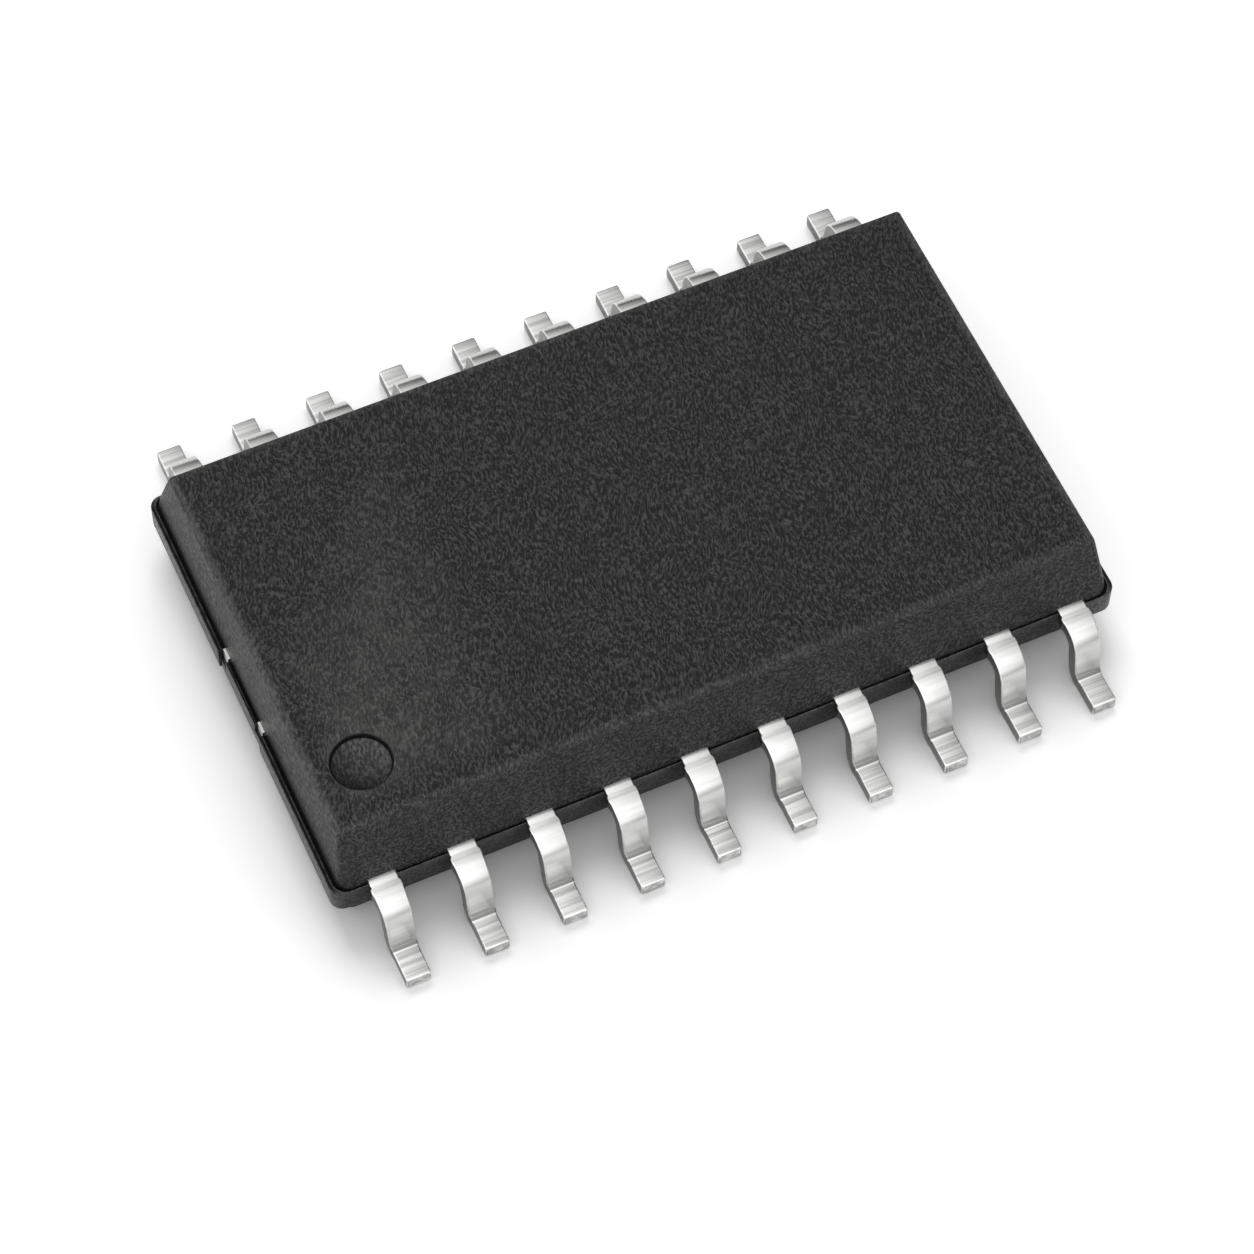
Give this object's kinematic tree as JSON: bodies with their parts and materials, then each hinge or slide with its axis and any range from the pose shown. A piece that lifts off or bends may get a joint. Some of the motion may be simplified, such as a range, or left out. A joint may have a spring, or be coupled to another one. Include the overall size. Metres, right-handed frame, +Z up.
{
  "type": "soic chip",
  "caption": "Small-outline chip: black moulded body, row of gull-wing leads along each long side, and die, paddle and bond wires inside.",
  "frame": {"origin": "centre of the seating plane, midway between the two rows of feet", "axes": "+X along the body, away from the end with the dimple; +Y from the lead 1 row to the other row; +Z up from the board"},
  "size_m": [0.013, 0.0102, 0.0022],
  "materials": {
    "moulding_compound": "black moulded epoxy with a fine leathery grain from the spark-eroded mould",
    "tin_plate": "bright tin plate with fine forming lines across the lead",
    "frame_alloy": "bare stamped nickel-iron, bright where the tie bars were cut",
    "silver_epoxy": "dull silver-filled adhesive",
    "silicon": "polished grey silicon",
    "gold_wire": "drawn gold bond wire"
  },
  "bodies": {
    "root": {"moulded_body": "moulding_compound", "die_paddle": "frame_alloy", "die_attach": "silver_epoxy", "silicon_die": "silicon", "lead_01": "tin_plate", "lead_02": "tin_plate", "lead_03": "tin_plate", "lead_04": "tin_plate", "lead_05": "tin_plate", "lead_06": "tin_plate", "lead_07": "tin_plate", "lead_08": "tin_plate", "lead_09": "tin_plate", "lead_10": "tin_plate", "lead_11": "tin_plate", "lead_12": "tin_plate", "lead_13": "tin_plate", "lead_14": "tin_plate", "lead_15": "tin_plate", "lead_16": "tin_plate", "lead_17": "tin_plate", "lead_18": "tin_plate", "lead_19": "tin_plate", "lead_20": "tin_plate", "wire_01": "gold_wire", "wire_02": "gold_wire", "wire_03": "gold_wire", "wire_04": "gold_wire", "wire_05": "gold_wire", "wire_06": "gold_wire", "wire_07": "gold_wire", "wire_08": "gold_wire", "wire_09": "gold_wire", "wire_10": "gold_wire", "wire_11": "gold_wire", "wire_12": "gold_wire", "wire_13": "gold_wire", "wire_14": "gold_wire", "wire_15": "gold_wire", "wire_16": "gold_wire", "wire_17": "gold_wire", "wire_18": "gold_wire", "wire_19": "gold_wire", "wire_20": "gold_wire"}
  },
  "joints": []
}
